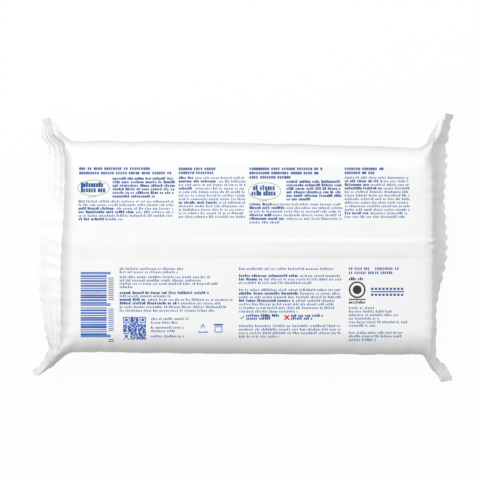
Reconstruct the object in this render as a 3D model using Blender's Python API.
"""A flow-wrapped pack of wet wipes, lying on its front face with its back up.

Lengths are in metres, +X runs along the pack, +Y across it and +Z up. The origin is
the centre of the reseal label's outer face, on which the pack rests. The film tube,
its two crimped end seals and its folded back seam are one welded wrap around the
wipes, so they are one solid. The reseal label is a second piece, stuck on the front.
"""

import math

import bmesh
import bpy
from mathutils import Vector

MM = 0.001

# The filled body of the pack
BODY_LENGTH = 0.180
BODY_WIDTH = 0.1035
BODY_THICKNESS = 0.040
SIDE_RADIUS = 0.012
SHOULDER_LENGTH = 0.014
BACK_CROWN = 0.0012
CORNER_INSET = 0.0015

# How far the +Y side draws in by the +X end, and the -Y side by the -X end
SIDE_DRAW = {1: 0.0036, -1: 0.0015}

# The crimped end seals, with their saw-cut edges
SEAL_WIDTH = 0.0115
SEAL_THICKNESS = 0.0006
TOOTH_PITCH = 0.005
TOOTH_DEPTH = 0.0016
RIB_PITCH = 0.0028
RIB_HEIGHT = 0.00015

# How far short of the cut edge the ribs and the back seam stop, in depths of a tooth
RIBS_STOP_SHORT = 1.2
SEAM_STOPS_SHORT = 1.5

# The back seam, a fin folded flat along the middle of the back
SEAM_WIDTH = 0.009
SEAM_HEIGHT = 0.0004
SEAM_CENTRE = -0.0003
SEAM_STEP = 0.0003

# The reseal label on the front face
LABEL_LENGTH = 0.112
LABEL_WIDTH = 0.064
LABEL_THICKNESS = 0.00025
LABEL_CORNER_RADIUS = 0.009
TAB_LENGTH = 0.012
TAB_WIDTH = 0.034
TAB_RADIUS = 0.008
LABEL_GAP = 0.0003
ARC_STEPS = 8

# How finely the wrap is divided: along its faces, and down its ends before and past where they drop
FACE_STEP = 0.0155
DROP_STARTS = 0.70
DROP_POWER = 9.0
DROP_SHAPE = 0.35
STEPS_BEFORE_DROP = 3
DROP_STEPS = 8

# How near a division may come to the seam's edges and to the sides' folds
SEAM_CLEARANCE = 0.0002
FOLD_CLEARANCE = 0.0005

# The shape that each end seal has been bent to. Each pair is a place along the seal,
# from -1 at its -Y tip to 1 at its +Y tip, and the value there: how far the seal hangs
# below level half way out, how far its root stands out from the body and above or below
# its middle, and how far the seal straightens from its root to its cut edge.
SEAL_DROOP_DEG = {
    1: [
        (-1.0, 60), (-0.93, 63), (-0.86, 67), (-0.78, 77), (-0.7, 82), (-0.62, 83), (-0.54, 84),
        (-0.45, 84), (-0.36, 79), (-0.27, 73), (-0.17, 63), (-0.1, 56), (0.0, 53), (0.22, 57),
        (0.36, 61), (0.5, 57), (0.7, 52), (0.76, 59), (0.83, 67), (0.9, 71), (1.0, 68),
    ],
    -1: [
        (-1.0, 72), (-0.93, 78), (-0.86, 80), (-0.8, 74), (-0.74, 60), (-0.66, 48), (-0.55, 36),
        (-0.42, 24), (-0.2, 12), (0.0, 10), (0.16, 12), (0.28, 24), (0.36, 30), (0.5, 34), (0.64, 36),
        (0.75, 46), (0.84, 62), (0.92, 65), (1.0, 66),
    ],
}
SEAL_FLARE_MM = {
    1: [
        (-1.0, 4.0), (-0.95, 3.4), (-0.89, 1.2), (-0.83, -0.6), (-0.76, -0.6), (-0.62, 0.5), (-0.5, 0.7),
        (0.0, 0.7), (0.6, 0.7), (0.70, 0.5), (0.74, 1.0), (0.79, 2.4), (0.83, 3.7), (0.88, 4.7), (1.0, 6.0),
    ],
    -1: [
        (-1.0, 12.3), (-0.9, 8.3), (-0.85, 6.7), (-0.8, 4.7), (-0.75, 2.5), (-0.7, 1.2), (-0.62, 0.6),
        (-0.4, 0.5), (-0.15, 0.7), (0.1, -0.2), (0.35, -1.2), (0.66, -1.4), (0.74, -0.5), (0.79, 1.2),
        (0.84, 3.4), (0.88, 4.9), (1.0, 5.2),
    ],
}
SEAL_LIFT_MM = {
    1: [(-1.0, -1.5), (-0.75, 0.0), (0.0, 0.0), (0.75, 0.0), (1.0, 1.0)],
    -1: [(-1.0, -3.5), (-0.8, 0.0), (0.0, 0.0), (0.75, 0.0), (0.88, -3.0), (1.0, -6.2)],
}
SEAL_CURL_DEG = {
    1: [(-1.0, 8), (-0.6, 8), (-0.4, 10), (-0.1, 30), (0.0, 40), (0.6, 44), (0.8, 30), (1.0, 10)],
    -1: [(-1.0, 3), (-0.8, 8), (-0.6, 24), (-0.3, 24), (0.0, 20), (0.3, 30), (0.64, 40), (0.8, 24), (1.0, 12)],
}

# How squarely the pack's ends break down to the seals and how full the film stays on
# the way, by the same places, and where its round sides fold sharp
SHOULDER_SQUARENESS = {
    1: [
        (-1.0, 9.0), (-0.85, 9.5), (-0.6, 9.0), (0.0, 8.0), (0.5, 8.0), (0.66, 5.5), (0.76, 6.5),
        (0.86, 9.5), (1.0, 8.5),
    ],
    -1: [(-1.0, 9.0), (-0.85, 9.5), (-0.6, 6.0), (0.0, 5.5), (0.6, 5.5), (0.85, 10.0), (1.0, 13.0)],
}
SHOULDER_FULLNESS = {
    1: [(-1.0, 0.5), (-0.8, 0.3), (-0.6, 0.2), (0.5, 0.2), (0.66, 0.5), (0.76, 0.6), (0.86, 0.8), (1.0, 1.3)],
    -1: [(-1.0, 0.5), (-0.8, 0.45), (-0.6, 0.5), (0.6, 0.55), (0.8, 0.6), (1.0, 1.0)],
}
SHARP_BELOW = 0.62
ROUND_ABOVE = 0.97

# How much more softly the front breaks down, under the seals that hang over it
FRONT_SOFTNESS = 0.45

# Worked out from the sizes above
CORNER_ARC = math.pi / 2 * SIDE_RADIUS
HALF_THICKNESS = BODY_THICKNESS / 2
HALF_GIRTH = (BODY_WIDTH / 2 - SIDE_RADIUS) + CORNER_ARC + (HALF_THICKNESS - SIDE_RADIUS)
FACE_END = BODY_LENGTH / 2 - SHOULDER_LENGTH
FRONT_HEIGHT = LABEL_THICKNESS + LABEL_GAP
MID_HEIGHT = FRONT_HEIGHT + HALF_THICKNESS
FILM_END = BODY_LENGTH / 2 + SEAL_WIDTH


def ease(value):
    """A smooth step from 0 at 0 to 1 at 1."""
    value = min(1.0, max(0.0, value))
    return value * value * (3 - 2 * value)


def curve_through(knots, place):
    """The value at a place on a smooth curve through the knots."""
    place = min(knots[-1][0], max(knots[0][0], place))
    last = len(knots) - 1
    i = next(n for n in range(last) if place <= knots[n + 1][0])
    (x0, y0), (x1, y1) = knots[i], knots[i + 1]
    before, after = knots[max(i - 1, 0)], knots[min(i + 2, last)]
    span = x1 - x0
    slope0 = (y1 - before[1]) / (x1 - before[0]) * span
    slope1 = (after[1] - y0) / (after[0] - x0) * span
    t = (place - x0) / span
    return (
        (2 * t**3 - 3 * t**2 + 1) * y0
        + (t**3 - 2 * t**2 + t) * slope0
        + (3 * t**2 - 2 * t**3) * y1
        + (t**3 - t**2) * slope1
    )


def rounded_section(girth, half_height):
    """(y, z) of the film at a distance round the girth from the middle of the back, on a round-cornered box."""
    radius = min(SIDE_RADIUS, half_height)
    corner = math.pi / 2 * radius
    flat = HALF_GIRTH - corner - (half_height - radius)
    around = abs(girth) - flat
    if around <= 0:
        return girth, half_height
    if around <= corner:
        turn = around / radius
        y = flat + radius * math.sin(turn)
        return math.copysign(y, girth), half_height - radius + radius * math.cos(turn)
    return math.copysign(flat + radius, girth), half_height - radius - (around - corner)


def folded_section(girth, half_height):
    """(y, z) of the film where its side is drawn out to a sharp fold, as in the webs of the four ears."""
    flat = BODY_WIDTH / 2 - CORNER_INSET
    web = HALF_GIRTH - flat
    around = max(0.0, abs(girth) - flat) / web
    reach = math.sqrt(max(0.0, web * web - half_height * half_height))
    y = min(abs(girth), flat) + around * reach
    return math.copysign(y, girth), half_height * (1 - around)


def section(girth, half_height):
    """(y, z) of the film's upper layer where the pack is this thick above its middle."""
    sharp_below, round_above = HALF_THICKNESS * SHARP_BELOW, HALF_THICKNESS * ROUND_ABOVE
    roundness = ease((half_height - sharp_below) / (round_above - sharp_below))
    round_y, round_z = rounded_section(girth, half_height)
    fold_y, fold_z = folded_section(girth, min(half_height, sharp_below))
    fold_z *= half_height / min(half_height, sharp_below)
    y = fold_y + (round_y - fold_y) * roundness
    return y, fold_z + (round_z - fold_z) * roundness


class SealLine:
    """The root of one end seal: a line as long as the flat film tube is wide, bent in plan and in height."""

    steps = 120
    reach = 2 * MM

    def __init__(self, end):
        self.end = end
        self.points = []
        y = 0.0
        for n in range(self.steps + 1):
            place = n / self.steps * 2 - 1
            out = curve_through(SEAL_FLARE_MM[end], place) * MM
            up = curve_through(SEAL_LIFT_MM[end], place) * MM
            if self.points:
                before = self.points[-1]
                run = 2 * HALF_GIRTH / self.steps
                rise = math.hypot(out - before[0], up - before[2])
                y += math.sqrt(max(0.0, run * run - rise * rise))
            self.points.append((out, y, up))
        middle = self.points[self.steps // 2][1]
        self.points = [
            Vector((end * (BODY_LENGTH / 2 + out), y - middle, MID_HEIGHT + up)) for out, y, up in self.points
        ]

    def at(self, girth):
        """The root at a distance along the seal from its middle."""
        place = (girth / HALF_GIRTH + 1) / 2 * self.steps
        low = min(self.steps - 1, max(0, int(place)))
        return self.points[low].lerp(self.points[low + 1], place - low)

    def run_out(self, girth, out):
        """How far a place at a distance out lies from the root, and the way the seal's upper face looks there."""
        along = self.at(girth + self.reach) - self.at(girth - self.reach)
        level = Vector((along.y, -along.x, 0)).normalized() * self.end
        curl = math.radians(curve_through(SEAL_CURL_DEG[self.end], girth / HALF_GIRTH))
        start = math.radians(curve_through(SEAL_DROOP_DEG[self.end], girth / HALF_GIRTH)) + curl / 2
        turn = curl / SEAL_WIDTH
        now = start - turn * out
        sideways = (math.sin(start) - math.sin(now)) / turn
        down = (math.cos(now) - math.cos(start)) / turn
        run = level * math.cos(now) - Vector((0, 0, math.sin(now)))
        return level * sideways - Vector((0, 0, down)), run.cross(along).normalized() * self.end


SEAL_LINES = {end: SealLine(end) for end in (-1, 1)}


def half_height_at(distance, girth, layer):
    """How far one layer of the film stands from the pack's middle plane at a place on the flat film tube."""
    along = (abs(distance) - FACE_END) / SHOULDER_LENGTH
    if along <= 0:
        return HALF_THICKNESS
    end = 1 if distance > 0 else -1
    place = girth / HALF_GIRTH
    softness = (1 - place**4) if layer < 0 else 0.0
    squareness = curve_through(SHOULDER_SQUARENESS[end], place) * (1 - FRONT_SOFTNESS * softness)
    fullness = curve_through(SHOULDER_FULLNESS[end], place) * (1 + softness)
    share = (1 - min(1.0, along) ** squareness) ** fullness
    least = SEAL_THICKNESS / 2
    return least + (HALF_THICKNESS - least) * share


def drawn_in(x, y):
    """The place across the body once its sides draw in, each towards one end."""
    side = 1 if y > 0 else -1
    along = min(1.0, max(0.0, 0.5 + side * x / BODY_LENGTH))
    return y * (1 - SIDE_DRAW[side] * along**2 / (BODY_WIDTH / 2))


def body_point(distance, girth, layer):
    """A point of the film over the filled body. Layer is 1 for the back and -1 for the front."""
    height = half_height_at(distance, girth, layer)
    y, z = section(girth, height)
    z *= 1 - SEAL_THICKNESS / 2 / height
    if layer > 0:
        fullness = max(0.0, 1 - (distance / BODY_LENGTH * 2) ** 4)
        z += BACK_CROWN * fullness * max(0.0, 1 - (2 * y / BODY_WIDTH) ** 2)
    along = max(0.0, abs(distance) - FACE_END) / SHOULDER_LENGTH
    end = 1 if distance > 0 else -1
    bend = SEAL_LINES[end].at(y) - Vector((end * BODY_LENGTH / 2, y, MID_HEIGHT))
    share = along**4
    side_y = y + bend.y * share
    side_y += (drawn_in(distance, side_y) - side_y) * (1 - share)
    wall = Vector((0, 0, 1)).lerp(SEAL_LINES[end].run_out(y, 0)[1], share).normalized() * SEAL_THICKNESS / 2
    return Vector((distance + bend.x * share, side_y, MID_HEIGHT + layer * z + bend.z * share)) + wall * layer


def seal_point(distance, girth, layer):
    """A point of the crimped seal beyond the body, with its ribs and its saw-cut edge."""
    end = 1 if distance > 0 else -1
    out = abs(distance) - BODY_LENGTH / 2
    if out > SEAL_WIDTH - 1e-6:
        out -= TOOTH_DEPTH * 2 * abs((girth / TOOTH_PITCH + 0.5) % 1.0 - 0.5)
    offset, up = SEAL_LINES[end].run_out(girth, out)
    rib = RIB_HEIGHT * (1 - math.cos(2 * math.pi * out / RIB_PITCH)) / 2
    return SEAL_LINES[end].at(girth) + offset + up * (layer * SEAL_THICKNESS / 2 + rib)


def stations():
    """The places along the film where the wrap is divided, from one cut edge to the other."""
    faces = math.ceil(FACE_END / FACE_STEP)
    half = [FACE_END * n / faces for n in range(1, faces + 1)]
    for n in range(1, STEPS_BEFORE_DROP + 1):
        half.append(FACE_END + SHOULDER_LENGTH * DROP_STARTS * n / STEPS_BEFORE_DROP)
    for n in range(1, DROP_STEPS + 1):
        height = (1 - DROP_STARTS**DROP_POWER) * (1 - n / DROP_STEPS)
        half.append(FACE_END + SHOULDER_LENGTH * (1 - height ** (1 / DROP_SHAPE)) ** (1 / DROP_POWER))
    ribs = math.floor((SEAL_WIDTH - TOOTH_DEPTH * RIBS_STOP_SHORT) / (RIB_PITCH / 2))
    half += [BODY_LENGTH / 2 + RIB_PITCH / 2 * n for n in range(1, ribs + 1)]
    return [-x for x in reversed(half)] + [0.0] + half


def columns():
    """The places round the girth where the wrap is divided: one for each tooth's tip and root, and the seam's edges."""
    half = math.floor(HALF_GIRTH / (TOOTH_PITCH / 2))
    even = [TOOTH_PITCH / 2 * n for n in range(-half, half + 1)]
    places = [place for place in even if abs(place) < HALF_GIRTH - FOLD_CLEARANCE]
    low, high = SEAM_CENTRE - SEAM_WIDTH / 2, SEAM_CENTRE + SEAM_WIDTH / 2
    edges = [low - SEAM_STEP, low, high, high + SEAM_STEP]
    return sorted([p for p in places if min(abs(p - e) for e in edges) > SEAM_CLEARANCE] + edges)


def raise_seam(mesh, film_place):
    """Lifts the folded seam off the back, square to the film."""
    mesh.normal_update()
    low, high = SEAM_CENTRE - SEAM_WIDTH / 2, SEAM_CENTRE + SEAM_WIDTH / 2
    lifted = []
    for vert in mesh.verts:
        distance, girth, layer = film_place[vert.index]
        on_seam = low - 1e-6 < girth < high + 1e-6
        if layer > 0 and on_seam and abs(distance) < FILM_END - TOOTH_DEPTH * SEAM_STOPS_SHORT:
            lifted.append((vert, vert.normal * SEAM_HEIGHT))
    for vert, shift in lifted:
        vert.co += shift


def wrap_mesh():
    """The closed film wrap: a slab divided like the flat film tube, then bent to the pack's form."""
    mesh = bmesh.new()
    bmesh.ops.create_cube(mesh, size=2)
    bmesh.ops.scale(mesh, vec=(FILM_END, HALF_GIRTH, 1), verts=mesh.verts)
    cuts = [(Vector((x, 0, 0)), Vector((1, 0, 0))) for x in stations()]
    cuts += [(Vector((0, y, 0)), Vector((0, 1, 0))) for y in columns()]
    for place, normal in cuts:
        everything = mesh.verts[:] + mesh.edges[:] + mesh.faces[:]
        bmesh.ops.bisect_plane(mesh, geom=everything, dist=1e-7, plane_co=place, plane_no=normal)
    mesh.verts.index_update()
    film_place = [tuple(vert.co) for vert in mesh.verts]
    for vert in mesh.verts:
        distance, girth, layer = vert.co
        on_body = abs(distance) <= BODY_LENGTH / 2 + 1e-7
        vert.co = (body_point if on_body else seal_point)(distance, girth, layer)
    raise_seam(mesh, film_place)
    return mesh


def arc(centre_x, centre_y, radius, start_deg):
    """The points of a quarter turn about a centre."""
    turns = [math.radians(start_deg + 90 * n / ARC_STEPS) for n in range(ARC_STEPS + 1)]
    return [(centre_x + radius * math.cos(t), centre_y + radius * math.sin(t)) for t in turns]


def label_outline():
    """The label's outline: a round-cornered rectangle with a lifting tab at its +X end."""
    x, y, r = LABEL_LENGTH / 2 - LABEL_CORNER_RADIUS, LABEL_WIDTH / 2 - LABEL_CORNER_RADIUS, LABEL_CORNER_RADIUS
    tab_x, tab_y = LABEL_LENGTH / 2 + TAB_LENGTH - TAB_RADIUS, TAB_WIDTH / 2 - TAB_RADIUS
    points = arc(-x, -y, r, 180) + arc(x, -y, r, 270)
    points += [(LABEL_LENGTH / 2, -TAB_WIDTH / 2)] + arc(tab_x, -tab_y, TAB_RADIUS, 270)
    points += arc(tab_x, tab_y, TAB_RADIUS, 0) + [(LABEL_LENGTH / 2, TAB_WIDTH / 2)]
    return points + arc(x, y, r, 0) + arc(-x, y, r, 90)


def label_mesh():
    """The label: its outline drawn flat at z = 0 and raised by its thickness."""
    mesh = bmesh.new()
    face = mesh.faces.new([mesh.verts.new((x, y, 0)) for x, y in label_outline()])
    face.normal_flip()
    raised = bmesh.ops.extrude_face_region(mesh, geom=[face], use_keep_orig=True)
    top = [item for item in raised["geom"] if isinstance(item, bmesh.types.BMVert)]
    bmesh.ops.translate(mesh, vec=(0, 0, LABEL_THICKNESS), verts=top)
    bmesh.ops.recalc_face_normals(mesh, faces=mesh.faces)
    return mesh


def material(name, colour, roughness):
    """A plain plastic finish."""
    made = bpy.data.materials.new(name)
    made.use_nodes = True
    shader = made.node_tree.nodes["Principled BSDF"]
    shader.inputs["Base Color"].default_value = (*colour, 1)
    shader.inputs["Roughness"].default_value = roughness
    shader.inputs["Metallic"].default_value = 0
    return made


def add_object(name, shape, finish, smooth_below_deg):
    """Puts a finished mesh in the scene as one named piece."""
    data = bpy.data.meshes.new(name)
    shape.to_mesh(data)
    shape.free()
    data.shade_smooth()
    data.set_sharp_from_angle(angle=math.radians(smooth_below_deg))
    data.materials.append(finish)
    piece = bpy.data.objects.new(name, data)
    bpy.context.scene.collection.objects.link(piece)
    return piece


def main():
    """Clears the scene and builds the two pieces."""
    for old in list(bpy.data.objects):
        bpy.data.objects.remove(old)
    add_object("sealed_pack", wrap_mesh(), material("white_film", (0.90, 0.90, 0.91), 0.38), 50)
    add_object("reseal_label", label_mesh(), material("label_film", (0.62, 0.76, 0.88), 0.30), 30)


main()
